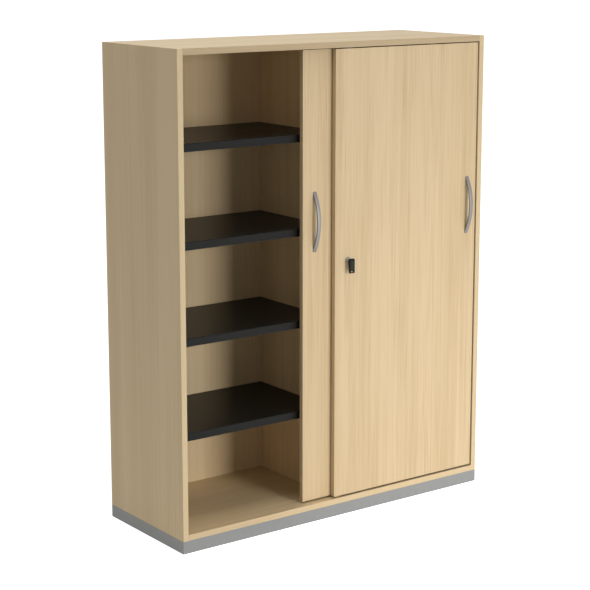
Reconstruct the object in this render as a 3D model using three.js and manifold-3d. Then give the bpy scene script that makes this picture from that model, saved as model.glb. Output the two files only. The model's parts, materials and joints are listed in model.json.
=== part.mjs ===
import * as THREE from 'three';
import { mergeVertices } from 'three/addons/utils/BufferGeometryUtils.js';
import Module from 'manifold-3d';

const wasm = await Module();
wasm.setup();

// Sliding door cabinet in millimetres, Z up. A board carcass stands on a folded steel
// plinth, two doors hang from a roller track let into the top board and overlap in the
// middle, and folded steel shelves rest on pins in both bays.
// X runs from the middle of the cabinet, Y from the front edge of the carcass towards the
// back; the last step centres the part on its own depth.

// Fits
const seatGap = 0.3;
const runningGap = 0.5;
const overrun = 5;
const weldDistance = 0.0001;

// Roundness
const roundSides = 32;
const pinSides = 12;
const arcSteps = 24;

// Carcass boards
const cabinetWidth = 1200;
const cabinetDepth = 432;
const cabinetHeight = 1538;
const boardThickness = 19;
const backThickness = 8;
const backRebate = 9.5;

// Plinth, a ring of folded sheet with an inward flange at the top and the bottom
const plinthHeight = 40;
const plinthSheet = 2;
const plinthFlange = 25;

// Doors
const doorThickness = 16;
const doorOverlap = 36;
const doorSideGap = 5;
const doorFloorGap = 6;
const doorHeadGap = 3;
const frontDoorSetback = 2;
const doorGap = 6;
const handleClearance = 58.5;

// Centre partition, behind the rear door
const partitionGap = 4;

// Folded steel shelves
const shelfCount = 4;
const firstShelfRise = 304;
const shelfPitch = 297;
const shelfSetback = 11;
const shelfBackGap = 1;
const shelfSideGap = 1.5;
const shelfSheet = 1.5;
const shelfLip = 25;
const shelfReturn = 12;

// Shelf pins
const pinRadius = 2.5;
const pinDepth = 10;
const pinReach = 8;
const pinDrop = 11;
const pinInset = 40;
const collarRadius = 4;
const collarThickness = 1.2;

// Double track let into the top board
const trackWall = 1.2;
const trackInner = 9;
const trackDepth = 13;
const trackSlot = 3.2;

// Hangers and rollers
const rollerRadius = 4.5;
const rollerWidth = 4.6;
const axleRadius = 1.3;
const rivetRadius = 2.4;
const rivetThickness = 0.5;
const hangerThickness = 1.5;
const hangerLength = 40;
const hangerSink = 30;
const hangerInset = 60;
const hangerTab = 16;
const hangerTabRise = 3.5;
const hangerTabCorner = 2;

// Guide on the bottom board, with one fin for each door
const guideLength = 18;
const guideBase = 2;
const guideMargin = 2;
const guideFin = 4;
const guideEntry = 7;
const guideTopGap = 2;

// Bow handles
const handleLength = 193;
const handleWidth = 13;
const handleRise = 27;
const handleThickness = 6;
const handleFoot = 14;
const handleHeight = 977;
const leftHandleInset = 46;
const rightHandleInset = 39;

// Push lock in the front door
const lockInset = 52;
const lockHeight = 846;
const sleeveWall = 1.2;
const sleeveBack = 2;
const barrelRadius = 8.5;
const barrelStandOut = 11;
const boltRadius = 4;
const boltSetback = 4;
const plugRadius = 5.2;
const plugLength = 12.5;

// Folding key
const bladeThickness = 2;
const bladeHeight = 7;
const bladeEntry = 11;
const bladeEyeRadius = 4.2;
const pivotRadius = 1.2;
const pivotStandOff = 7;
const gripWidth = 18;
const gripHeadRadius = 6.4;
const gripDrop = 40;
const gripFootThickness = 7;
const gripCorner = 2.5;
const ringSlotWidth = 11;
const ringSlotHeight = 5;
const ringSlotRise = 3;

// Surfaces
const oakBoard = { color: 0xd9c39c, roughness: 0.55, metalness: 0 };
const greyPaint = { color: 0x939390, roughness: 0.5, metalness: 0.3 };
const blackPaint = { color: 0x201d19, roughness: 0.45, metalness: 0.3 };
const brightSteel = { color: 0xc2c3c4, roughness: 0.3, metalness: 1 };
const aluminium = { color: 0xb4b6b8, roughness: 0.4, metalness: 1 };
const whiteNylon = { color: 0xe3e1da, roughness: 0.6, metalness: 0 };
const blackPlastic = { color: 0x23282a, roughness: 0.5, metalness: 0 };

const part = new THREE.Group();
part.name = 'sliding_door_cabinet';

// A closed solid from the faces of a geometry.
function solid(geometry) {
  geometry.deleteAttribute('normal');
  geometry.deleteAttribute('uv');
  const welded = mergeVertices(geometry, weldDistance);
  return new wasm.Manifold(new wasm.Mesh({
    numProp: 3,
    vertProperties: new Float32Array(welded.attributes.position.array),
    triVerts: new Uint32Array(welded.index.array),
  }));
}

// A square block between two corners.
function block([x0, y0, z0], [x1, y1, z1]) {
  const geometry = new THREE.BoxGeometry(x1 - x0, y1 - y0, z1 - z0);
  geometry.translate((x0 + x1) / 2, (y0 + y1) / 2, (z0 + z1) / 2);
  return solid(geometry);
}

// A round bar along X around a centre in Y and Z.
function rodAlongX(radius, x0, x1, [y, z], sides = roundSides) {
  const geometry = new THREE.CylinderGeometry(radius, radius, x1 - x0, sides);
  geometry.rotateZ(Math.PI / 2);
  geometry.translate((x0 + x1) / 2, y, z);
  return solid(geometry);
}

// A round bar along Y around a centre in X and Z.
function rodAlongY(radius, y0, y1, [x, z], sides = roundSides) {
  const geometry = new THREE.CylinderGeometry(radius, radius, y1 - y0, sides);
  geometry.translate(x, (y0 + y1) / 2, z);
  return solid(geometry);
}

// An outline drawn in Y and Z, carried along X.
function extrudeAlongX(shape, x0, x1) {
  const geometry = new THREE.ExtrudeGeometry(shape, {
    depth: x1 - x0,
    bevelEnabled: false,
    curveSegments: arcSteps,
  });
  const turn = new THREE.Matrix4().makeBasis(
    new THREE.Vector3(0, 1, 0),
    new THREE.Vector3(0, 0, 1),
    new THREE.Vector3(1, 0, 0),
  );
  geometry.applyMatrix4(turn);
  geometry.translate(x0, 0, 0);
  return solid(geometry);
}

// An outline drawn in X and Z, carried along Y.
function extrudeAlongY(shape, y0, y1) {
  const geometry = new THREE.ExtrudeGeometry(shape, {
    depth: y1 - y0,
    bevelEnabled: false,
    curveSegments: arcSteps,
  });
  geometry.rotateX(Math.PI / 2);
  geometry.translate(0, y1, 0);
  return solid(geometry);
}

// One named piece of the part.
function addPiece(name, body, surface) {
  const { vertProperties, triVerts } = body.getMesh();
  const geometry = new THREE.BufferGeometry();
  geometry.setAttribute('position', new THREE.BufferAttribute(vertProperties, 3));
  geometry.setIndex(new THREE.BufferAttribute(triVerts, 1));
  geometry.computeVertexNormals();
  const mesh = new THREE.Mesh(geometry, new THREE.MeshStandardMaterial(surface));
  mesh.name = name;
  part.add(mesh);
}

// Planes of the carcass
const outerHalf = cabinetWidth / 2;
const innerHalf = outerHalf - boardThickness;
const floorTop = plinthHeight + boardThickness;
const ceiling = cabinetHeight - boardThickness;
const backFace = cabinetDepth - backThickness;

// Places of the doors: the left door runs behind the right one, and stands open until its
// handle is near the edge of the right door
const doorWidth = (cabinetWidth - doorOverlap) / 2 + doorOverlap - boardThickness - doorSideGap;
const doorBottom = floorTop + doorFloorGap;
const doorTop = ceiling - doorHeadGap;
const rightDoorStart = innerHalf - doorSideGap - doorWidth;
const doors = [
  {
    name: 'left_door',
    start: rightDoorStart - handleClearance - handleWidth / 2 - leftHandleInset,
    front: frontDoorSetback + doorThickness + doorGap,
  },
  {
    name: 'right_door',
    start: rightDoorStart,
    front: frontDoorSetback,
  },
];
const [leftDoor, rightDoor] = doors;
for (const door of doors) {
  door.end = door.start + doorWidth;
  door.back = door.front + doorThickness;
  door.middle = (door.front + door.back) / 2;
}

// Places of the shelves and of the pins that carry them
const partitionFront = leftDoor.back + partitionGap;
const shelfFront = leftDoor.back + shelfSetback;
const shelfBack = backFace - shelfBackGap;
const bays = [
  { name: 'left', from: -innerHalf, to: -boardThickness / 2 },
  { name: 'right', from: boardThickness / 2, to: innerHalf },
];
const shelfTops = [];
for (let level = 0; level < shelfCount; level += 1) {
  shelfTops.push(floorTop + firstShelfRise + level * shelfPitch);
}
const pinRows = [
  { name: 'front', y: shelfFront + pinInset },
  { name: 'back', y: shelfBack - pinInset },
];
const pinPlaces = [];
shelfTops.forEach((top, level) => {
  for (const row of pinRows) {
    pinPlaces.push({ name: `${level + 1}_${row.name}`, y: row.y, z: top - shelfSheet - pinDrop });
  }
});

// Holes for the pins in an upright board, between two depths along X.
function pinHoles(x0, x1) {
  return pinPlaces.map(({ y, z }) => rodAlongX(pinRadius + seatGap, x0, x1, [y, z], pinSides));
}

// The back panel, let into rebates all round
const backHalf = innerHalf + backRebate;
const backBottom = floorTop - backRebate;
const backTop = ceiling + backRebate;
const backPanel = block([-backHalf, backFace, backBottom], [backHalf, cabinetDepth, backTop]);
addPiece('back_panel', backPanel, oakBoard);

// Sides that run the full height of the carcass, with blind holes for the shelf pins
const holeEnd = innerHalf + pinDepth + seatGap;
let leftSide = block([-outerHalf, 0, plinthHeight], [-innerHalf, cabinetDepth, cabinetHeight]);
leftSide = leftSide.subtract(backPanel);
for (const hole of pinHoles(-holeEnd, -innerHalf + overrun)) {
  leftSide = leftSide.subtract(hole);
}
addPiece('left_side_panel', leftSide, oakBoard);

let rightSide = block([innerHalf, 0, plinthHeight], [outerHalf, cabinetDepth, cabinetHeight]);
rightSide = rightSide.subtract(backPanel);
for (const hole of pinHoles(innerHalf - overrun, holeEnd)) {
  rightSide = rightSide.subtract(hole);
}
addPiece('right_side_panel', rightSide, oakBoard);

// Bottom board
const bottomBoard = block([-innerHalf, 0, plinthHeight], [innerHalf, cabinetDepth, floorTop]);
addPiece('bottom_panel', bottomBoard.subtract(backPanel), oakBoard);

// Top board, with the groove that takes the track
const trackFront = rightDoor.middle - trackInner / 2 - trackWall;
const trackBack = leftDoor.middle + trackInner / 2 + trackWall;
const trackTop = ceiling + trackDepth;
const trackGroove = block([-innerHalf, trackFront, ceiling - overrun], [innerHalf, trackBack, trackTop]);
const topBoard = block([-innerHalf, 0, ceiling], [innerHalf, cabinetDepth, cabinetHeight]);
addPiece('top_panel', topBoard.subtract(backPanel).subtract(trackGroove), oakBoard);

// Centre partition, drilled through for the pins of both bays
let partition = block(
  [-boardThickness / 2, partitionFront, floorTop],
  [boardThickness / 2, backFace, ceiling],
);
for (const hole of pinHoles(-boardThickness, boardThickness)) {
  partition = partition.subtract(hole);
}
addPiece('centre_partition', partition, oakBoard);

// Plinth ring
const plinthWebInner = outerHalf - plinthSheet;
const plinthFlangeInner = outerHalf - plinthFlange;
const plinth = block([-outerHalf, 0, 0], [outerHalf, cabinetDepth, plinthHeight])
  .subtract(block(
    [-plinthWebInner, plinthSheet, plinthSheet],
    [plinthWebInner, cabinetDepth - plinthSheet, plinthHeight - plinthSheet],
  ))
  .subtract(block(
    [-plinthFlangeInner, plinthFlange, -overrun],
    [plinthFlangeInner, cabinetDepth - plinthFlange, plinthHeight + overrun],
  ));
addPiece('plinth_frame', plinth, greyPaint);

// Track: one channel for each door, open below beside the lip that its rollers run on
let track = block([-innerHalf, trackFront, ceiling], [innerHalf, trackBack, trackTop]);
const trackEnd = innerHalf + overrun;
for (const door of doors) {
  const channelFront = door.middle - trackInner / 2;
  door.slotBack = door.middle + trackInner / 2;
  door.slotFront = door.slotBack - trackSlot;
  track = track
    .subtract(block(
      [-trackEnd, channelFront, ceiling + trackWall],
      [trackEnd, door.slotBack, trackTop - trackWall],
    ))
    .subtract(block(
      [-trackEnd, door.slotFront, ceiling - overrun],
      [trackEnd, door.slotBack, ceiling + trackDepth / 2],
    ));
}
track = track.subtract(block(
  [-trackEnd, rightDoor.slotBack + trackWall, ceiling - overrun],
  [trackEnd, leftDoor.middle - trackInner / 2 - trackWall, trackTop - trackWall],
));
addPiece('door_track', track, aluminium);

// Guide with two fins that stand in the grooves under the doors
const finTop = doorBottom + guideEntry;
let guide = block(
  [-guideLength / 2, rightDoor.middle - guideFin / 2 - guideMargin, floorTop],
  [guideLength / 2, leftDoor.middle + guideFin / 2 + guideMargin, floorTop + guideBase],
);
for (const door of doors) {
  guide = guide.add(block(
    [-guideLength / 2, door.middle - guideFin / 2, floorTop],
    [guideLength / 2, door.middle + guideFin / 2, finTop],
  ));
}
addPiece('door_guide', guide, blackPlastic);

// Folded shelves: a sheet with a lip on every side, the front one turned back under
for (const bay of bays) {
  const x0 = bay.from + shelfSideGap;
  const x1 = bay.to - shelfSideGap;
  shelfTops.forEach((top, level) => {
    const foot = top - shelfLip;
    let tray = block([x0, shelfFront, foot], [x1, shelfBack, top])
      .subtract(block(
        [x0 + shelfSheet, shelfFront + shelfSheet, foot - overrun],
        [x1 - shelfSheet, shelfBack - shelfSheet, top - shelfSheet],
      ))
      .add(block([x0, shelfFront, foot], [x1, shelfFront + shelfReturn, foot + shelfSheet]));
    const notchHalf = pinRadius + seatGap;
    const notchTop = top - shelfSheet - pinDrop + notchHalf;
    for (const row of pinRows) {
      tray = tray.subtract(block(
        [x0 - overrun, row.y - notchHalf, foot - overrun],
        [x1 + overrun, row.y + notchHalf, notchTop],
      ));
    }
    addPiece(`${bay.name}_shelf_${level + 1}`, tray, blackPaint);
  });
}

// Pins: one in each side for every seat, and one through the partition for both bays
const collarHalf = boardThickness / 2 + collarThickness;
const throughHalf = boardThickness / 2 + pinReach;
for (const { name, y, z } of pinPlaces) {
  const seat = [y, z];
  for (const [side, sign] of [['left', -1], ['right', 1]]) {
    const shank = [sign * (innerHalf - pinReach), sign * (innerHalf + pinDepth)].sort((a, b) => a - b);
    const collar = [sign * (innerHalf - collarThickness), sign * innerHalf].sort((a, b) => a - b);
    const pin = rodAlongX(pinRadius, ...shank, seat, pinSides)
      .add(rodAlongX(collarRadius, ...collar, seat, pinSides));
    addPiece(`${side}_pin_${name}`, pin, brightSteel);
  }
  const centrePin = rodAlongX(pinRadius, -throughHalf, throughHalf, seat, pinSides)
    .add(rodAlongX(collarRadius, -collarHalf, -boardThickness / 2, seat, pinSides))
    .add(rodAlongX(collarRadius, boardThickness / 2, collarHalf, seat, pinSides));
  addPiece(`centre_pin_${name}`, centrePin, brightSteel);
}

// Places of the hangers on each door
const axleHeight = ceiling + trackWall + seatGap + rollerRadius;
for (const door of doors) {
  door.bladeFront = door.slotFront + (trackSlot - hangerThickness) / 2;
  door.bladeBack = door.bladeFront + hangerThickness;
  door.hangers = [door.start + hangerInset, door.end - hangerInset];
}

// Place of the lock
const lockX = rightDoor.start + lockInset;
const lockCentre = [lockX, lockHeight];
const boreRadius = barrelRadius + seatGap;
const sleeveRadius = boreRadius + sleeveWall;

// Door panels, grooved below for the guide and slotted above for the hangers
for (const door of doors) {
  const grooveHalf = guideFin / 2 + runningGap;
  let panel = block([door.start, door.front, doorBottom], [door.end, door.back, doorTop])
    .subtract(block(
      [door.start - overrun, door.middle - grooveHalf, doorBottom - overrun],
      [door.end + overrun, door.middle + grooveHalf, finTop + guideTopGap],
    ));
  for (const x of door.hangers) {
    panel = panel.subtract(block(
      [x - hangerLength / 2, door.bladeFront, doorTop - hangerSink],
      [x + hangerLength / 2, door.bladeBack, doorTop + overrun],
    ));
  }
  if (door === rightDoor) {
    panel = panel.subtract(rodAlongY(
      sleeveRadius + seatGap,
      door.front - overrun,
      door.back + overrun,
      lockCentre,
    ));
  }
  addPiece(`${door.name}_panel`, panel, oakBoard);
}

// Points of an arc that stands out from a face in -Y, from below a height to above it.
function bowPoints(face, height, halfChord, rise) {
  const radius = (halfChord * halfChord + rise * rise) / (2 * rise);
  const reach = Math.asin(halfChord / radius);
  const points = [];
  for (let step = 0; step <= arcSteps; step += 1) {
    const angle = reach * (2 * step / arcSteps - 1);
    const y = face - rise + radius - radius * Math.cos(angle);
    points.push(new THREE.Vector2(y, height + radius * Math.sin(angle)));
  }
  return points;
}

// Bow handles: a bar between two arcs, flat on the door at both ends
const handles = [
  { door: leftDoor, x: leftDoor.start + leftHandleInset },
  { door: rightDoor, x: rightDoor.end - rightHandleInset },
];
for (const { door, x } of handles) {
  const outer = bowPoints(door.front, handleHeight, handleLength / 2, handleRise);
  const innerHalfChord = handleLength / 2 - handleFoot;
  const inner = bowPoints(door.front, handleHeight, innerHalfChord, handleRise - handleThickness);
  const outline = new THREE.Shape([...outer, ...inner.reverse()]);
  const bow = extrudeAlongX(outline, x - handleWidth / 2, x + handleWidth / 2);
  addPiece(`${door.name}_handle`, bow, brightSteel);
}

// Hangers: a plate sunk in the door, with the axle riveted to its tab, and a roller on it
for (const door of doors) {
  const rollerBack = door.slotFront;
  const rollerFront = rollerBack - rollerWidth;
  const rivetBack = rollerFront - seatGap;
  const tabTop = axleHeight + hangerTabRise;
  door.hangers.forEach((x, index) => {
    const outline = new THREE.Shape([
      new THREE.Vector2(x - hangerLength / 2, doorTop - hangerSink),
      new THREE.Vector2(x + hangerLength / 2, doorTop - hangerSink),
      new THREE.Vector2(x + hangerLength / 2, doorTop),
      new THREE.Vector2(x + hangerTab / 2, ceiling),
      new THREE.Vector2(x + hangerTab / 2, tabTop - hangerTabCorner),
      new THREE.Vector2(x + hangerTab / 2 - hangerTabCorner, tabTop),
      new THREE.Vector2(x - hangerTab / 2 + hangerTabCorner, tabTop),
      new THREE.Vector2(x - hangerTab / 2, tabTop - hangerTabCorner),
      new THREE.Vector2(x - hangerTab / 2, ceiling),
      new THREE.Vector2(x - hangerLength / 2, doorTop),
    ]);
    const axle = [x, axleHeight];
    const hanger = extrudeAlongY(outline, door.bladeFront, door.bladeBack)
      .add(rodAlongY(axleRadius, rivetBack - rivetThickness, door.bladeBack, axle))
      .add(rodAlongY(rivetRadius, rivetBack - rivetThickness, rivetBack, axle));
    addPiece(`${door.name}_hanger_${index + 1}`, hanger, brightSteel);
    const roller = rodAlongY(rollerRadius, rollerFront, rollerBack, axle)
      .subtract(rodAlongY(axleRadius + seatGap, rollerFront - overrun, rollerBack + overrun, axle));
    addPiece(`${door.name}_roller_${index + 1}`, roller, whiteNylon);
  });
}

// Lock sleeve, fixed in the door, with a back wall that the bolt passes
const sleeveBackFace = rightDoor.back - sleeveBack;
const sleeve = rodAlongY(sleeveRadius, rightDoor.front, rightDoor.back, lockCentre)
  .subtract(rodAlongY(boreRadius, rightDoor.front - overrun, sleeveBackFace, lockCentre))
  .subtract(rodAlongY(boltRadius + seatGap, rightDoor.front, rightDoor.back + overrun, lockCentre));
addPiece('lock_sleeve', sleeve, brightSteel);

// Lock barrel: stands out of the door until it is pushed in, when its bolt blocks the other door
const barrelFront = rightDoor.front - barrelStandOut;
const barrelTravel = boltSetback + doorGap - runningGap;
const barrelBack = sleeveBackFace - barrelTravel - runningGap;
const boltEnd = rightDoor.back - boltSetback;
const plugBack = barrelFront + plugLength;
const barrel = rodAlongY(barrelRadius, barrelFront, barrelBack, lockCentre)
  .add(rodAlongY(boltRadius, barrelBack - runningGap, boltEnd, lockCentre))
  .subtract(rodAlongY(plugRadius + seatGap, barrelFront - overrun, plugBack + seatGap, lockCentre));
addPiece('lock_barrel', barrel, brightSteel);

// Lock plug with its keyway
const bladeTip = barrelFront + bladeEntry;
const keywayHalfWidth = bladeThickness / 2 + seatGap;
const keywayHalfHeight = bladeHeight / 2 + seatGap;
const plug = rodAlongY(plugRadius, barrelFront, plugBack, lockCentre)
  .subtract(block(
    [lockX - keywayHalfWidth, barrelFront - overrun, lockHeight - keywayHalfHeight],
    [lockX + keywayHalfWidth, bladeTip + seatGap, lockHeight + keywayHalfHeight],
  ));
addPiece('lock_plug', plug, brightSteel);

// Key blade with the eye that the grip folds on
const pivotY = barrelFront - pivotStandOff;
const pivot = [pivotY, lockHeight];
const bladeSides = [lockX - bladeThickness / 2, lockX + bladeThickness / 2];
const blade = block(
  [bladeSides[0], pivotY, lockHeight - bladeHeight / 2],
  [bladeSides[1], bladeTip, lockHeight + bladeHeight / 2],
)
  .add(rodAlongX(bladeEyeRadius, ...bladeSides, pivot))
  .subtract(rodAlongX(
    pivotRadius + seatGap,
    bladeSides[0] - overrun,
    bladeSides[1] + overrun,
    pivot,
  ));
addPiece('key_blade', blade, brightSteel);

// Key grip: a round head on the pivot, tapering at the back to a thin foot with a ring slot
const footBottom = -gripDrop;
const footBack = gripFootThickness - gripHeadRadius;
const cornerHeight = footBottom + gripCorner;
const toCorner = Math.hypot(footBack, cornerHeight);
const tangentAngle = Math.atan2(cornerHeight, footBack) + Math.acos(gripHeadRadius / toCorner);
const gripOutline = new THREE.Shape();
gripOutline.moveTo(-gripHeadRadius, cornerHeight);
gripOutline.lineTo(-gripHeadRadius, 0);
gripOutline.absarc(0, 0, gripHeadRadius, Math.PI, tangentAngle, true);
gripOutline.lineTo(footBack, cornerHeight);
gripOutline.quadraticCurveTo(footBack, footBottom, footBack - gripCorner, footBottom);
gripOutline.lineTo(gripCorner - gripHeadRadius, footBottom);
gripOutline.quadraticCurveTo(-gripHeadRadius, footBottom, -gripHeadRadius, cornerHeight);
const slotHalf = bladeThickness / 2 + seatGap;
const foldRoom = bladeHeight / 2 + seatGap;
const ringSlotBottom = lockHeight - gripDrop + ringSlotRise;
const grip = extrudeAlongX(gripOutline, lockX - gripWidth / 2, lockX + gripWidth / 2)
  .translate([0, pivotY, lockHeight])
  .subtract(rodAlongX(bladeEyeRadius + seatGap, lockX - slotHalf, lockX + slotHalf, pivot))
  .subtract(block(
    [lockX - slotHalf, pivotY - foldRoom, lockHeight - foldRoom],
    [lockX + slotHalf, barrelFront + overrun, lockHeight + gripHeadRadius + overrun],
  ))
  .subtract(block(
    [lockX - ringSlotWidth / 2, pivotY - gripHeadRadius - overrun, ringSlotBottom],
    [lockX + ringSlotWidth / 2, barrelFront + overrun, ringSlotBottom + ringSlotHeight],
  ))
  .add(rodAlongX(pivotRadius, lockX - gripWidth / 4, lockX + gripWidth / 4, pivot));
addPiece('key_grip', grip, blackPlastic);

// Centre the part on its depth, from the front handle's bow to the back
const foremost = rightDoor.front - handleRise;
const middleDepth = (foremost + cabinetDepth) / 2;
for (const mesh of part.children) {
  mesh.geometry.translate(0, -middleDepth, 0);
}

export default part;
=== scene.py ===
# %% [markdown]
# # A sliding door cabinet
# The cabinet is a tall box of melamine-faced board on a grey steel plinth. Two doors hang from
# rollers in a hidden track and slide past each other, and black folded steel shelves stand inside.

import json
import math

import bpy
import bmesh
import numpy as np
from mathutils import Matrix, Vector


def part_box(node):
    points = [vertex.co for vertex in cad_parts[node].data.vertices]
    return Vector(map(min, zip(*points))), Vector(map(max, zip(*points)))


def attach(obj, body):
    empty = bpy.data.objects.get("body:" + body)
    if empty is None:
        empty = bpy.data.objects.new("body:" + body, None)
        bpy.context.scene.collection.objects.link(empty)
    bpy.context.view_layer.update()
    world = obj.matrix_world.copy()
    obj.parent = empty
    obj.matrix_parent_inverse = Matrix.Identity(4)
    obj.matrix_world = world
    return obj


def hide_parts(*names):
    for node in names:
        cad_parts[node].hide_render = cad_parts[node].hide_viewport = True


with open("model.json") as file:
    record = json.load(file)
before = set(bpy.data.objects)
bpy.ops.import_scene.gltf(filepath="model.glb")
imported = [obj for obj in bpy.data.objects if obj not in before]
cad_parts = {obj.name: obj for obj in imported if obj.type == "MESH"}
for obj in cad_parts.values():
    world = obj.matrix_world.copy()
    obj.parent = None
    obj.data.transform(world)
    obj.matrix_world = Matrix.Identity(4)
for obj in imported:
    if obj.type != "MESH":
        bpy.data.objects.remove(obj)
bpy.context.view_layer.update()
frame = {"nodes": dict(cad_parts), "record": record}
MM = 0.001

# %% [markdown]
# ## Colours and nodes
# Paint charts and colour pickers give sRGB values, while the renderer adds light in linear values.
# One function turns the first into the second. Another adds a node with its settings and its
# links in one line, which keeps each surface short enough to read. Axes are named too: X runs
# along the cabinet's width, Y from its front to its back and Z upwards.


# %% Colour and node helpers
X, Y, Z = 0, 1, 2


def colour(hex_value):
    """Linear colour of an sRGB hex value: a channel is divided by 12.92 where it is dark, and
    otherwise (channel + 0.055) / 1.055 is raised to the power of 2.4."""
    channels = np.array([int(hex_value[place : place + 2], 16) for place in (1, 3, 5)]) / 255
    linear = np.where(channels <= 0.04045, channels / 12.92, ((channels + 0.055) / 1.055) ** 2.4)
    return (*linear.tolist(), 1.0)


def add(tree, kind, inputs=None, **settings):
    """Adds one node. Settings are its own options, inputs are values or the sockets that feed it."""
    node = tree.nodes.new(kind)
    for name, value in settings.items():
        setattr(node, name, value)
    for name, value in (inputs or {}).items():
        if isinstance(value, bpy.types.NodeSocket):
            tree.links.new(value, node.inputs[name])
        else:
            node.inputs[name].default_value = value
    return node


def new_surface(name, **constants):
    """A material with one Principled shader, and its constants set on the shader's own sockets."""
    material = bpy.data.materials.new(name)
    material.use_nodes = True
    tree = material.node_tree
    tree.nodes.clear()
    shader = add(tree, "ShaderNodeBsdfPrincipled")
    for socket, value in constants.items():
        shader.inputs[socket.replace("_", " ")].default_value = value
    add(tree, "ShaderNodeOutputMaterial", {"Surface": shader.outputs["BSDF"]})
    return material, tree, shader


print("helpers ready")

# %% [markdown]
# ## Light oak melamine
# The boards are chipboard faced with paper that is printed with oak and pressed under a clear
# resin. The print shows straight streaks along the board: broad pale and dark bands, narrow
# streaks in them, and fine pores that stand in clusters. The resin gives a soft, even gloss. Noise
# that is stretched along the grain draws all of them, and its sizes are their own widths and
# lengths: a broad noise mixed into a fine one gathers the narrow streaks into bands and the pores
# into clusters. The pores are about half a millimetre wide in the print, too fine to show, so they
# are drawn 2 mm wide.
#
# The sawn edges are hidden under plastic edging, printed to match but plainer than the board. The
# side panels and the back have a quieter print than the doors. The inside of the back is a little
# darker than the sides, and the edging of the doors and of the top board a little darker than the
# other edging: both are painted shade, for the shade inside the cabinet and on the side-facing and
# recessed edges. A door's top and bottom edges are dull dark brown, painted shade for the dark gaps
# above and below the doors. The outside of the back has plain paper instead of oak.


# %% Oak melamine
def oak_melamine(name, grain, dark, pale, pore_strength, dull=False):
    """Printed oak under satin resin, with the grain along one axis. The bands run from the dark
    to the pale colour, and pores as strong as given multiply them. Noise keeps close to 0.5, so
    the bands' ramp is steep on both sides of it, and the pores' ramp darkens the low values."""
    roughness, gloss = (0.8, 0.0) if dull else (0.5, 0.3)
    material, tree, shader = new_surface(name, Roughness=roughness, Specular_IOR_Level=gloss)
    place = add(tree, "ShaderNodeTexCoord").outputs["Object"]

    def streaks(width, length, detail):
        """Noise whose pattern is as wide and long as given, in metres."""
        scale = [1 / width] * 3
        scale[grain] = 1 / length
        stretched = add(tree, "ShaderNodeMapping", {"Vector": place, "Scale": scale})
        noise = add(
            tree,
            "ShaderNodeTexNoise",
            {"Vector": stretched.outputs["Vector"], "Scale": 1.0, "Detail": detail, "Roughness": 0.6},
        )
        return noise.outputs["Fac"]

    def gathered(fine, broad, share):
        """Fine streaks in broad groups: the broad noise has the given share, the fine one the rest."""
        both = add(tree, "ShaderNodeMix", {0: share, 2: fine, 3: broad}, data_type="FLOAT")
        return both.outputs[0]

    tone = gathered(streaks(6 * MM, 1400 * MM, 3.0), streaks(140 * MM, 2400 * MM, 1.0), 0.5)
    bands = add(tree, "ShaderNodeValToRGB", {"Fac": tone})
    bands.color_ramp.elements[0].position = 0.42
    bands.color_ramp.elements[0].color = colour(dark)
    bands.color_ramp.elements[1].position = 0.58
    bands.color_ramp.elements[1].color = colour(pale)
    clusters = gathered(streaks(2 * MM, 180 * MM, 2.0), streaks(30 * MM, 500 * MM, 1.0), 0.35)
    pores = add(tree, "ShaderNodeValToRGB", {"Fac": clusters})
    pores.color_ramp.elements[0].position = 0.30
    pores.color_ramp.elements[0].color = colour("#dcd3c4")
    pores.color_ramp.elements[1].position = 0.52
    pores.color_ramp.elements[1].color = colour("#ffffff")
    printed = add(
        tree,
        "ShaderNodeMix",
        {0: pore_strength, 6: bands.outputs["Color"], 7: pores.outputs["Color"]},
        data_type="RGBA",
        blend_type="MULTIPLY",
    )
    tree.links.new(printed.outputs[2], shader.inputs["Base Color"])
    return material


oak_upright = oak_melamine("light oak melamine, upright", Z, "#d3ba92", "#ddc59f", 0.55)
oak_lengthwise = oak_melamine("light oak melamine, lengthwise", X, "#d5bc92", "#dfc79f", 0.3)
oak_outside = oak_melamine("quiet oak melamine, upright", Z, "#d6bd94", "#e0c8a0", 0.2)
# Painted shade: the back's inside is darker than the oak outside, for the shade inside the cabinet.
oak_inside_painted_shade = oak_melamine("quiet oak melamine, back, darkened as painted shade", Z, "#d1b88f", "#d9c19a", 0.2)
edging_upright = oak_melamine("oak edging, upright", Z, "#d7c099", "#dbc59d", 0.2)
edging_lengthwise = oak_melamine("oak edging, lengthwise", X, "#d7be98", "#dbc39c", 0.2)
# Painted shade: the doors' edging is darker than the other edging, for the shade on their side-facing
# edges.
door_edging_painted_shade = oak_melamine("oak edging darkened as painted shade, upright", Z, "#bea884", "#c2ad88", 0.2)
# Painted shade: the top board's edging is darker, for the shade along its front edge.
top_edging_painted_shade = oak_melamine("oak edging darkened as painted shade, lengthwise", X, "#c0aa88", "#c7b18e", 0.2)
# Painted shade: the doors' top and bottom edges are dark brown, for the shade in the gaps above and
# below the doors.
chipboard_painted_shade = oak_melamine("chipboard edge, dark brown as painted shade", X, "#503a24", "#5f472c", 0.3, dull=True)
backing_paper = oak_melamine("plain backing paper", Z, "#cdc0a6", "#d1c4aa", 0.1, dull=True)
print("oak melamine, its edging, the shade-painted door edges and the backing paper")

# %% [markdown]
# ## Powder-coated steel
# The plinth and the shelves are sheet steel, sprayed with powder that melts into a skin. The skin
# keeps a faint orange peel with bumps a few millimetres apart, so highlights break up softly.


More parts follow.
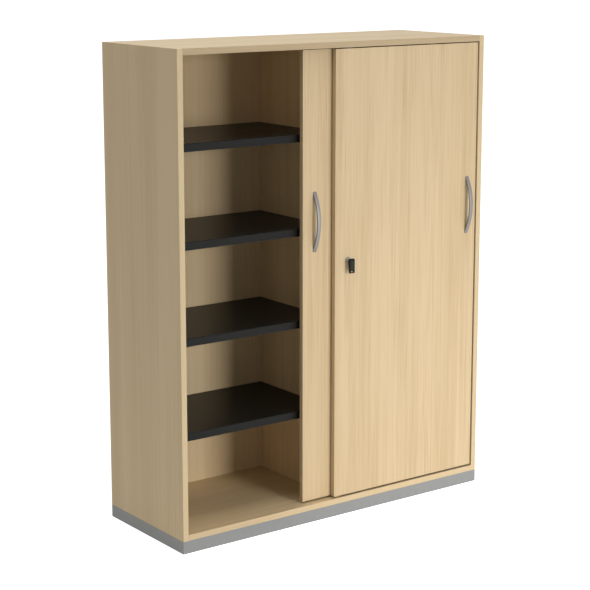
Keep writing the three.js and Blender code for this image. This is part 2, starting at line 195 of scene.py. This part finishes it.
# %% Powder coats
def powder_coat(name, hex_value, roughness, gloss, peel=3 * MM):
    """Baked powder on steel: one colour, and a bump of noise with cells as wide as the peel."""
    material, tree, shader = new_surface(
        name, Roughness=roughness, Base_Color=colour(hex_value), Specular_IOR_Level=gloss
    )
    place = add(tree, "ShaderNodeTexCoord").outputs["Object"]
    cells = add(tree, "ShaderNodeTexNoise", {"Vector": place, "Scale": 1 / peel, "Detail": 1.0})
    bump = add(
        tree,
        "ShaderNodeBump",
        {"Height": cells.outputs["Fac"], "Strength": 0.08, "Distance": 0.05 * MM},
    )
    tree.links.new(bump.outputs["Normal"], shader.inputs["Normal"])
    return material


grey_coat = powder_coat("light grey powder coat", "#8f9190", 0.5, 0.5)
black_coat = powder_coat("near-black powder coat", "#141413", 0.37, 0.15)
print("powder coats for plinth and shelves")

# %% [markdown]
# ## Metals and plastics
# The handles are zinc castings with satin nickel plating, polished with a belt along their length.
# The lock and the pins are bright plated steel. The track is extruded aluminium with fine die
# lines along its length, coloured dark brown as painted shade, so that the gap above the doors stays
# dark. The rollers are natural nylon and the guide is oak-brown nylon, so that it doesn't stand out
# under the doors.
# The key's grip is black ABS with a dull inlay.


# %% Metals and plastics
def brushed_metal(name, hex_value, roughness, line, along):
    """Metal with fine lines along one axis, as wide as line and 60 times as long: stretched noise
    moves the roughness up and down by a small change."""
    material, tree, shader = new_surface(name, Metallic=1.0, Base_Color=colour(hex_value))
    place = add(tree, "ShaderNodeTexCoord").outputs["Object"]
    scale = [1 / line] * 3
    scale[along] = 1 / (60 * line)
    stretched = add(tree, "ShaderNodeMapping", {"Vector": place, "Scale": scale})
    lines = add(tree, "ShaderNodeTexNoise", {"Vector": stretched.outputs["Vector"], "Scale": 1.0})
    change = 0.06
    uneven = add(
        tree,
        "ShaderNodeMapRange",
        {"Value": lines.outputs["Fac"], "To Min": roughness - change, "To Max": roughness + change},
    )
    tree.links.new(uneven.outputs["Result"], shader.inputs["Roughness"])
    return material


def moulded_plastic(name, hex_value, roughness, gloss=0.5, grain=0.8 * MM):
    """Moulded plastic: one colour and a faint spark-eroded grain from the mould."""
    material, tree, shader = new_surface(
        name, Roughness=roughness, Base_Color=colour(hex_value), Specular_IOR_Level=gloss
    )
    place = add(tree, "ShaderNodeTexCoord").outputs["Object"]
    cells = add(tree, "ShaderNodeTexNoise", {"Vector": place, "Scale": 1 / grain, "Detail": 2.0})
    bump = add(
        tree,
        "ShaderNodeBump",
        {"Height": cells.outputs["Fac"], "Strength": 0.1, "Distance": 0.03 * MM},
    )
    tree.links.new(bump.outputs["Normal"], shader.inputs["Normal"])
    return material


satin_nickel = brushed_metal("satin nickel plating", "#878685", 0.48, 0.4 * MM, Z)
bright_plating = brushed_metal("bright nickel plating", "#b4b2b4", 0.28, 0.3 * MM, Y)
# Painted shade: the hangers' plating is darkened, so that they stay dark in the gap above the front
# door.
hanger_plating_painted_shade = brushed_metal("zinc plating darkened as painted shade", "#77787a", 0.5, 0.5 * MM, X)
# Painted shade: the track is dark brown, so that the gap above the doors looks shaded.
aluminium_painted_shade = brushed_metal("aluminium darkened brown as painted shade", "#4d3b2a", 0.45, 0.4 * MM, X)
natural_nylon = moulded_plastic("natural nylon", "#e3e1da", 0.5)
brown_nylon = moulded_plastic("oak-brown nylon", "#a58a63", 0.6, 0.1)
black_abs = moulded_plastic("black ABS", "#161817", 0.42, 0.2)
grip_inlay = moulded_plastic("dark grey ABS inlay", "#2b302d", 0.6, 0.15)
print("metals and plastics ready")

# %% [markdown]
# ## Surfaces on parts that stay as they are
# Parts that are hidden or tiny, such as the track, hangers, rollers and pins, need no finer
# shape than they have. They only get their material, by name. The hangers show through the gap
# above the front door, and their plating is darkened as painted shade, so they don't shine out there.

# %% Give every part its material
finishes = {
    "door_track": aluminium_painted_shade,
    "door_guide": brown_nylon,
    "lock_plug": bright_plating,
}
for name in frame["nodes"]:
    if "_pin_" in name:
        finishes[name] = bright_plating
    elif "_hanger_" in name:
        finishes[name] = hanger_plating_painted_shade
    elif "_roller_" in name:
        finishes[name] = natural_nylon
for name, material in finishes.items():
    data = frame["nodes"][name].data
    data.materials.clear()
    data.materials.append(material)
print(len(finishes), "parts keep their own shape")

# %% [markdown]
# ## From arrays to a finished piece
# Every new piece ends the same way: its points and faces go into a mesh, it gets its material, it
# rides on the part's own body so that it moves with it, and it stands in for the plain part.


# %% Piece helpers
body_of_part = {}
for body, names in frame["record"]["behaviour"]["bodies"].items():
    body_of_part.update(dict.fromkeys(names, body))


def settle(piece, material, node, replace=True):
    """Gives a piece its material and body, and lets it stand in for the CAD part."""
    piece.data.materials.clear()
    piece.data.materials.append(material)
    bpy.context.scene.collection.objects.link(piece)
    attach(piece, body_of_part[node])
    if replace:
        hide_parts(node)


def piece_from(name, points, faces, normals=None):
    """A smooth mesh object from points and faces, with exact normals where they are given."""
    mesh = bpy.data.meshes.new(name)
    mesh.from_pydata(np.asarray(points).tolist(), [], [list(face) for face in faces])
    mesh.polygons.foreach_set("use_smooth", np.ones(len(mesh.polygons), bool))
    if normals is not None:
        mesh.normals_split_custom_set_from_vertices(np.asarray(normals).tolist())
    mesh.update()
    return bpy.data.objects.new(name, mesh)


def doubles(points):
    """Which points to keep, and the number among these of every old point. Points that coincide
    to a hundredth of a micrometre count as one."""
    rounded = np.round(points, 8)
    _, kept, index = np.unique(rounded, axis=0, return_index=True, return_inverse=True)
    return kept, index.reshape(-1)


def welded(points, faces, normals):
    """Points, faces and normals with every double point made one."""
    kept, index = doubles(points)
    return points[kept], index[faces], normals[kept]


def grid_faces(rows, columns, start=0, flip=False):
    """Quads between neighbouring points of a grid that is stored row by row."""
    at = start + np.arange(rows * columns).reshape(rows, columns)
    corners = [at[:-1, :-1], at[:-1, 1:], at[1:, 1:], at[1:, :-1]]
    quads = np.stack([corner.ravel() for corner in corners], axis=1)
    return quads[:, ::-1] if flip else quads


print("piece helpers ready")

# %% [markdown]
# ## Boards with eased edges
# A sawn board gets plastic edging, which the machine then scrapes to a small radius. That radius
# is what catches the light along every edge. The carcass and door boards also have grooves,
# rebates and holes, so each one starts as a merged copy of its part and a Bevel modifier eases the
# long edges alone; the rims of the small pin holes stay crisp. The faces that point in the
# directions named for a board are its edges, and they get the edging. The back has no edging, and
# its edges are broken wider, so that it drops into its rebates; that leaves a fine groove round it.


# %% Ease the boards' edges
def eased(node, material, radius, shortest=20 * MM, covers=None):
    """A copy of a part whose long edges are rounded to the radius. An edge counts where it is
    longer than the shortest length and the two faces beside it meet at more than 30 degrees: the
    dot product of their normals is then less than the cosine of 30 degrees. Covers say which
    material a face gets when it points in a direction, which is when the dot product of its normal
    and the direction is over 0.7. The normals that came with the part are dropped, because they
    would bend the light on the narrow faces, and triangles that meet at less than half a degree
    become one face first."""
    mesh = frame["nodes"][node].data.copy()
    mesh.attributes.remove(mesh.attributes["custom_normal"])
    work = bmesh.new()
    work.from_mesh(mesh)
    bmesh.ops.remove_doubles(work, verts=work.verts, dist=1e-6)
    flat = math.radians(0.5)
    bmesh.ops.dissolve_limit(work, angle_limit=flat, verts=work.verts, edges=work.edges)
    work.to_mesh(mesh)
    work.free()
    places = np.empty(len(mesh.vertices) * 3, np.float32)
    mesh.vertices.foreach_get("co", places)
    ends = np.empty(len(mesh.edges) * 2, np.int32)
    mesh.edges.foreach_get("vertices", ends)
    span = places.reshape(-1, 3)[ends.reshape(-1, 2)]
    long_edge = np.linalg.norm(span[:, 0] - span[:, 1], axis=1) > shortest
    normals = np.empty(len(mesh.polygons) * 3, np.float32)
    mesh.polygons.foreach_get("normal", normals)
    corners = np.empty(len(mesh.polygons), np.int32)
    mesh.polygons.foreach_get("loop_total", corners)
    edge_of_corner = np.empty(len(mesh.loops), np.int32)
    mesh.loops.foreach_get("edge_index", edge_of_corner)
    face_of_corner = np.repeat(np.arange(len(corners)), corners)
    beside = face_of_corner[np.argsort(edge_of_corner, kind="stable")].reshape(-1, 2)
    pair = normals.reshape(-1, 3)[beside]
    bent = (pair[:, 0] * pair[:, 1]).sum(axis=1) < math.cos(math.radians(30))
    weight = mesh.attributes.new("bevel_weight_edge", "FLOAT", "EDGE")
    weight.data.foreach_set("value", (long_edge & bent).astype(np.float32))
    sharp = mesh.attributes.get("sharp_edge") or mesh.attributes.new("sharp_edge", "BOOLEAN", "EDGE")
    sharp.data.foreach_set("value", ~long_edge & bent)
    mesh.polygons.foreach_set("use_smooth", np.ones(len(mesh.polygons), bool))
    piece = bpy.data.objects.new(node + "_eased", mesh)
    bevel = piece.modifiers.new("eased edges", "BEVEL")
    bevel.limit_method = "WEIGHT"
    bevel.width = radius
    bevel.segments = 3
    bevel.harden_normals = True
    settle(piece, material, node)
    which = np.zeros(len(mesh.polygons), np.int32)
    for direction, cover in (covers or {}).items():
        mesh.materials.append(cover)
        which[normals.reshape(-1, 3) @ np.array(direction) > 0.7] = len(mesh.materials) - 1
    mesh.polygons.foreach_set("material_index", which)


# The six directions are unit vectors: against and along X, Y and Z.
left, right, front, back, down, up = [tuple(side) for side in np.kron(np.eye(3), [[-1], [1]])]
boards = {
    "left_side_panel": (oak_outside, {front: edging_upright, back: edging_upright}),
    "right_side_panel": (oak_outside, {front: edging_upright, back: edging_upright}),
    "centre_partition": (oak_upright, {front: edging_upright}),
    "top_panel": (oak_lengthwise, {front: top_edging_painted_shade, back: top_edging_painted_shade}),
    "bottom_panel": (oak_lengthwise, {front: edging_lengthwise, back: edging_lengthwise}),
}
doors = {left: door_edging_painted_shade, right: door_edging_painted_shade, up: chipboard_painted_shade, down: chipboard_painted_shade}
boards["left_door_panel"] = boards["right_door_panel"] = (oak_upright, doors)
for name, (material, covers) in boards.items():
    eased(name, material, 0.5 * MM, covers=covers)
eased("back_panel", oak_inside_painted_shade, 1.5 * MM, covers={back: backing_paper})
eased("plinth_frame", grey_coat, 0.5 * MM)
print(len(boards) + 1, "boards and the plinth have eased edges")

# %% [markdown]
# ## Folded steel shelves
# A shelf is one sheet of steel with a lip folded down on each side. A fold never has a sharp edge:
# outside it is as round as the tool plus the sheet. The shape is a block with rounded edges and no
# underside, given its thickness inwards, and the front lip ends in a strip turned back under.


# %% Round blocks and folded trays
def round_steps(low, high, radius, steps):
    """Places along one side: dense near the ends, where the tangent of an even angle spaces them."""
    rise = radius * (1 - np.tan(np.linspace(math.pi / 4, 0, steps + 1)))
    return np.concatenate([low + rise, high - rise[::-1]])


def round_block(low, high, radius, steps=4, underside=True):
    """Points, quads and normals of a block with round edges. A point q runs over the six faces;
    c is q held inside the block shrunk by the radius, n points from c to q, and the surface is
    c + radius n. Without its underside the block stays square and open below."""
    low, high = np.asarray(low, float), np.asarray(high, float)
    inner_low, inner_high = low + radius, high - radius
    if not underside:
        inner_low[2] = low[2] - radius
    points, faces, normals = [], [], []
    count = 0
    for axis in range(3):
        across, along = [(1, 2), (2, 0), (0, 1)][axis]
        u, v = (round_steps(low[k], high[k], radius, steps) for k in (across, along))
        for side in (0, 1):
            if axis == 2 and side == 0 and not underside:
                continue
            q = np.empty((len(u), len(v), 3))
            q[..., axis] = (low, high)[side][axis]
            q[..., across], q[..., along] = np.meshgrid(u, v, indexing="ij")
            q = q.reshape(-1, 3)
            c = np.clip(q, inner_low, inner_high)
            n = q - c
            n /= np.linalg.norm(n, axis=1, keepdims=True)
            points.append(c + radius * n)
            normals.append(n)
            faces.append(grid_faces(len(u), len(v), count, flip=side == 1))
            count += len(q)
    return np.concatenate(points), np.concatenate(faces), np.concatenate(normals)


def open_rim(points, faces, height):
    """Edges of a welded open shell that lie at the given height and belong to one face only."""
    edges = np.stack([faces, np.roll(faces, -1, axis=1)], axis=2).reshape(-1, 2)
    both = np.sort(edges, axis=1)
    _, index, counts = np.unique(both, axis=0, return_inverse=True, return_counts=True)
    rim = edges[counts[index.reshape(-1)] == 1]
    return rim[np.isclose(points[rim[:, 0], 2], height)]


def folded_tray(node, bend, sheet, turned_under):
    """A tray with lips down on four sides: a round-edged shell, the same shell moved in by the
    sheet's thickness and turned over, a rim between their open edges, and the front strip that is
    turned under. The strip stays 0.2 mm behind the front, and its edges are nearly half round."""
    low, high = (np.array(corner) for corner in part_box(node))
    points, faces, normals = welded(*round_block(low, high, bend, underside=False))
    inner = points - sheet * normals
    inner[:, 2] = np.where(np.isclose(points[:, 2], low[2]), low[2], inner[:, 2])
    rim = open_rim(points, faces, low[2])
    skirt = np.stack([rim[:, 1], rim[:, 0], rim[:, 0] + len(points), rim[:, 1] + len(points)], axis=1)
    strip_low = low + [sheet, 0.2 * MM, 0]
    strip_high = np.array([high[0] - sheet, low[1] + turned_under, low[2] + sheet])
    strip = welded(*round_block(strip_low, strip_high, 0.45 * sheet, steps=2))
    every_point = np.concatenate([points, inner, strip[0]])
    every_normal = np.concatenate([normals, -normals, strip[2]])
    shell_faces = [faces, faces[:, ::-1] + len(points), skirt, strip[1] + 2 * len(points)]
    return piece_from(node + "_folded", every_point, np.concatenate(shell_faces), every_normal)


shelf_names = sorted(name for name in frame["nodes"] if "_shelf_" in name)
for name in shelf_names:
    tray = folded_tray(name, bend=2.2 * MM, sheet=1.5 * MM, turned_under=12 * MM)
    settle(tray, black_coat, name)
print(len(shelf_names), "folded shelves")

# %% [markdown]
# ## Bow handles
# The handle is a flat bar cast in a bow: its outer edge is one arc and its inner edge a flatter
# one, which meets the door before the tips do, so each end has a solid foot. At every height the
# bar's section is a rectangle with round corners between those two arcs.


# %% Bow handles
def arc_depth(z, half_chord, rise):
    """How far an arc stands out at height z from its middle, for its half chord and its rise."""
    radius = (half_chord**2 + rise**2) / (2 * rise)
    return np.sqrt(np.maximum(radius**2 - z**2, 0)) - (radius - rise)


def bow_handle(node, thickness=6 * MM, foot=14 * MM, corner=1.8 * MM):
    """Rings of a rounded rectangle, one at each height, from the lower tip to the upper one. The
    heights follow a sine, so the rings are densest at the tips. They stop just short of the arc's
    ends, and a corner takes at most 0.95 of half the bar's depth, so that no ring closes up."""
    low, high = (np.array(point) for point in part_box(node))
    middle, half = (low[2] + high[2]) / 2, (high[2] - low[2]) / 2
    face, rise = high[1], high[1] - low[1]
    rings, just_short, corner_steps = 61, 0.9985, 6
    z = half * just_short * np.sin(np.linspace(-math.pi / 2, math.pi / 2, rings))
    outer = arc_depth(z, half, rise)
    inner = np.maximum(arc_depth(z, half - foot, rise - thickness), 0)
    deep = (outer - inner) / 2
    wide = (high[0] - low[0]) / 2
    round_off = np.minimum(corner, 0.95 * deep)[:, None]
    within = np.linspace(0, math.pi / 2, corner_steps)
    turn = (np.arange(4)[:, None] * math.pi / 2 + within[None, :]).ravel()
    quarter = np.repeat(np.arange(4), corner_steps) * math.pi / 2 + math.pi / 4
    sign_x, sign_y = np.sign(np.cos(quarter)), np.sign(np.sin(quarter))
    x = sign_x * (wide - round_off) + round_off * np.cos(turn)
    y = sign_y * (deep[:, None] - round_off) + round_off * np.sin(turn)
    ring = np.empty((len(z), len(turn), 3))
    ring[..., 0] = (low[0] + high[0]) / 2 + x
    ring[..., 1] = face - (outer + inner)[:, None] / 2 + y
    ring[..., 2] = middle + z[:, None]
    closed = np.concatenate([ring, ring[:, :1]], axis=1)
    rows, columns = closed.shape[:2]
    side = grid_faces(rows, columns)
    points = closed.reshape(-1, 3)
    ends = [np.arange(columns - 1)[::-1], (rows - 1) * columns + np.arange(columns - 1)]
    kept, index = doubles(points)
    faces = [*index[side].tolist(), *[index[end].tolist() for end in ends]]
    return piece_from(node + "_bow", points[kept], faces)


for name in ("left_door_handle", "right_door_handle"):
    settle(bow_handle(name), satin_nickel, name)
print("two bow handles")

# %% [markdown]
# ## Lock and folding key
# The lock's barrel and sleeve are turned parts, so a profile goes round the lock's axis. Each
# profile lists the radius and the depth behind the part's front, in millimetres. The key's grip is
# moulded around its hinge; it keeps the slots of its part, gets eased edges, and a lighter panel
# is let into its front, which is what the eye sees of it.


# %% Turned parts of the lock
def turned(name, profile, centre, steps=48):
    """A profile of (radius, y) points carried round an axis along Y through centre (x, z).
    A point with radius 0 is a pole, and becomes one vertex."""
    profile = np.asarray(profile, float)
    angle = np.linspace(0, 2 * math.pi, steps + 1)
    radius, depth = profile[:, :1], profile[:, 1:]
    x = centre[0] + radius * np.cos(angle)
    z = centre[1] + radius * np.sin(angle)
    points = np.stack([x, np.broadcast_to(depth, x.shape), z], axis=2).reshape(-1, 3)
    kept, index = doubles(points)
    quads = index[grid_faces(len(profile), steps + 1)]
    faces = [list(dict.fromkeys(quad)) for quad in quads.tolist()]
    piece = piece_from(name, points[kept], faces)
    piece.data.set_sharp_from_angle(angle=math.radians(35))
    return piece


barrel_low, barrel_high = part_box("lock_barrel")
lock_centre = ((barrel_low.x + barrel_high.x) / 2, (barrel_low.z + barrel_high.z) / 2)
barrel_profile = np.array(
    [
        [0, 12.8],
        [5.5, 12.8],
        [5.5, 0.2],
        [5.7, 0],
        [7.6, 0],
        [8.3, 0.3],
        [8.5, 0.9],
        [8.5, 15],
        [4, 15],
        [4, 22.4],
        [3.4, 23],
        [0, 23],
    ]
)
barrel = turned("lock_barrel_turned", barrel_profile * MM + [0, barrel_low.y], lock_centre)
settle(barrel, bright_plating, "lock_barrel")
sleeve_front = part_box("lock_sleeve")[0].y
sleeve_profile = np.array(
    [[8.8, 0.3], [9.1, 0], [9.8, 0], [10, 0.2], [10, 16], [4.3, 16], [4.3, 14], [8.8, 14], [8.8, 0.3]]
)
sleeve = turned("lock_sleeve_turned", sleeve_profile * MM + [0, sleeve_front], lock_centre)
settle(sleeve, bright_plating, "lock_sleeve")
print("lock at x, z", np.round(lock_centre, 4).tolist())

# %% [markdown]
# The inlay is a thin block with round edges. It ends 3 mm from the grip's sides and stands a
# quarter of a millimetre proud of its front.

# %% Key blade and grip
eased("key_grip", black_abs, 0.5 * MM, shortest=3 * MM)
eased("key_blade", bright_plating, 0.2 * MM, shortest=5 * MM)
grip_low, grip_high = (np.array(point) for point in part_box("key_grip"))
inlay_low = [grip_low[0] + 3.0 * MM, grip_low[1] - 0.25 * MM, grip_low[2] + 9.5 * MM]
inlay_high = [grip_high[0] - 3.0 * MM, grip_low[1] + 1.0 * MM, grip_high[2] - 7 * MM]
inlay = piece_from("key_grip_inlay", *welded(*round_block(inlay_low, inlay_high, 0.5 * MM)))
settle(inlay, grip_inlay, "key_grip", replace=False)
print("key blade, grip and inlay")

# %% [markdown]
# ## Floor and background
# The photograph is a cut-out on pure white. The floor and the world are white to the camera and
# to mirror-like surfaces, whatever their light, and the floor still darkens where the cabinet
# takes light away from it.


# %% Floor and world
def seen_directly(tree):
    """A value of 1 for rays from the camera, a mirror or a glass, and 0 for light that spreads."""
    rays = add(tree, "ShaderNodeLightPath").outputs
    direct = rays["Is Camera Ray"]
    for kind in ("Is Glossy Ray", "Is Transmission Ray"):
        direct = add(tree, "ShaderNodeMath", {0: direct, 1: rays[kind]}, operation="MAXIMUM").outputs[0]
    return direct


floor_glow = 0.85
room_light = 0.385
floor_mesh = bpy.data.meshes.new("pale floor")
reach = 30.0
floor_mesh.from_pydata(
    [(-reach, -reach, 0), (reach, -reach, 0), (reach, reach, 0), (-reach, reach, 0)], [], [(0, 1, 2, 3)]
)
floor = bpy.data.objects.new("pale floor", floor_mesh)
bpy.context.scene.collection.objects.link(floor)

floor_paint = bpy.data.materials.new("white studio floor")
floor_paint.use_nodes = True
tree = floor_paint.node_tree
tree.nodes.clear()
diffuse = add(tree, "ShaderNodeBsdfDiffuse", {"Color": colour("#f2f1ee")})
glow = add(tree, "ShaderNodeEmission", {"Color": (1, 1, 1, 1), "Strength": floor_glow})
both = add(tree, "ShaderNodeAddShader", {0: diffuse.outputs[0], 1: glow.outputs[0]})
chosen = add(
    tree,
    "ShaderNodeMixShader",
    {"Fac": seen_directly(tree), 1: diffuse.outputs[0], 2: both.outputs[0]},
)
add(tree, "ShaderNodeOutputMaterial", {"Surface": chosen.outputs[0]})
floor_mesh.materials.append(floor_paint)

world = bpy.data.worlds.new("white studio")
bpy.context.scene.world = world
world.use_nodes = True
tree = world.node_tree
tree.nodes.clear()
room = add(tree, "ShaderNodeBackground", {"Color": (1, 1, 1, 1), "Strength": room_light})
white = add(tree, "ShaderNodeBackground", {"Color": (1, 1, 1, 1), "Strength": 1.0})
chosen = add(
    tree,
    "ShaderNodeMixShader",
    {"Fac": seen_directly(tree), 1: room.outputs[0], 2: white.outputs[0]},
)
add(tree, "ShaderNodeOutputWorld", {"Surface": chosen.outputs[0]})
print("floor and world are white to the camera")

# %% [markdown]
# ## Studio light
# The main light is a large soft box in front of the cabinet and a little to its right: the rear
# door's edge throws a broad, soft shadow on the back panel, slightly to the left of where it
# hangs. A grid on the box narrows its beam, which points down and to the right, so the doors get
# paler towards the floor. A second box overhead lights the top board. It hangs a little in
# front of the cabinet, so that some of its light also reaches the front of the bottom board.


# %% Lamps
def soft_box(name, place, aim, size, power, beam=180):
    """A square area lamp at a place, turned so that it shines at the aim, its beam in degrees."""
    lamp = bpy.data.lights.new(name, "AREA")
    lamp.shape = "SQUARE"
    lamp.size = size
    lamp.energy = power
    lamp.spread = math.radians(beam)
    box = bpy.data.objects.new(name, lamp)
    box.location = place
    box.rotation_euler = (Vector(aim) - Vector(place)).to_track_quat("-Z", "Y").to_euler()
    bpy.context.scene.collection.objects.link(box)


soft_box("front soft box", (0.7, -5.6, 1.35), aim=(1.14, 0, -0.8), size=1.9, power=43.5, beam=80)
soft_box("overhead soft box", (-0.4, -0.6, 4.4), aim=(-0.1, 0.1, 1.5), size=2.0, power=41)
print("two soft boxes")

# %% [markdown]
# ## Camera
# The photograph looks at the cabinet's left front corner from a standing person's eye level. Its
# place, turn and lens were solved from the cabinet's corners. The view is tilted down a little,
# with a small shift, so that the same camera also frames the cabinet from every other side.

# %% Camera
turn, tilt = math.radians(36.397), math.radians(10.883)
picture_width, focal_length = 590, 1652.1  # both in pixels
lens_data = bpy.data.cameras.new("standing view")
lens_data.sensor_width = 36.0
lens_data.lens = focal_length / picture_width * lens_data.sensor_width
lens_data.shift_y = -0.06
lens_data.clip_start, lens_data.clip_end = 0.1, 100.0
camera = bpy.data.objects.new("standing view", lens_data)
camera.location = (-3.1696, -4.2631, 1.8409)
camera.rotation_euler = (math.pi / 2 - tilt, 0, -turn)
bpy.context.scene.collection.objects.link(camera)
bpy.context.scene.camera = camera
bpy.context.scene.view_settings.view_transform = "Standard"
print("camera with a lens of", round(lens_data.lens, 1), "mm")
